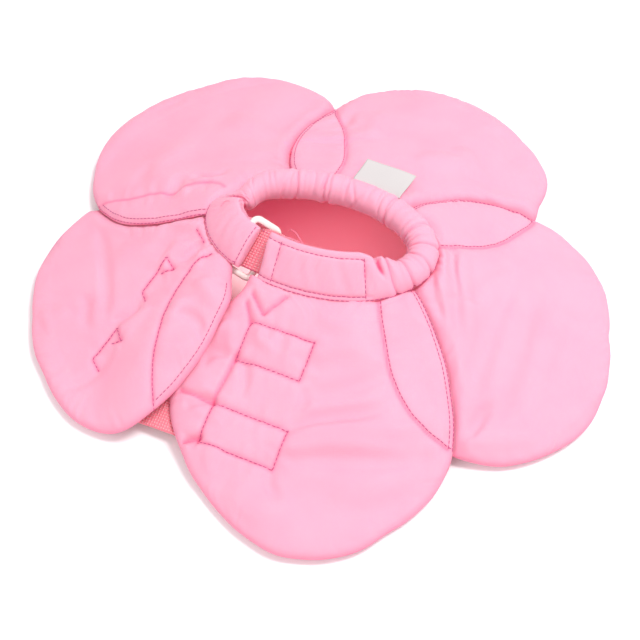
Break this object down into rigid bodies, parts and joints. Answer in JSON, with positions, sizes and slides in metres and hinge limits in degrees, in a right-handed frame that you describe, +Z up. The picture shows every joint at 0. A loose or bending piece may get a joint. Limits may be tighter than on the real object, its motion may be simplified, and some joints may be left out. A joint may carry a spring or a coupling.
{
  "type": "flower recovery collar",
  "caption": "Soft padded recovery collar for a small pet: flower petals round a gathered neck roll, closed by a strap through a ring and hook strips.",
  "frame": {"origin": "centre of the bounding box in plan, on the surface that the collar lies on", "axes": "+Z up through the neck opening, +Y from the front petal and the front band to the back petals, +X to the right of the closure"},
  "size_m": [0.3136, 0.315, 0.0584],
  "materials": {
    "pink_cloth": "smooth woven polyester, soft sheen",
    "coral_hook_tape": "woven hook tape",
    "pink_loop_tape": "napped loop tape",
    "ivory_plastic": "moulded, satin",
    "white_satin": "satin ribbon"
  },
  "bodies": {
    "root": {"petal_front": "pink_cloth", "petal_right": "pink_cloth", "petal_back_right": "pink_cloth", "petal_back_left": "pink_cloth", "petal_left": "pink_cloth", "neck_band": "pink_cloth", "strap_ring": "ivory_plastic", "neck_hook_strip": "coral_hook_tape", "petal_hook_strip_upper": "coral_hook_tape", "petal_hook_strip_lower": "coral_hook_tape", "petal_loop_patch_upper": "pink_loop_tape", "petal_loop_patch_lower": "pink_loop_tape", "side_label": "white_satin"}
  },
  "joints": []
}
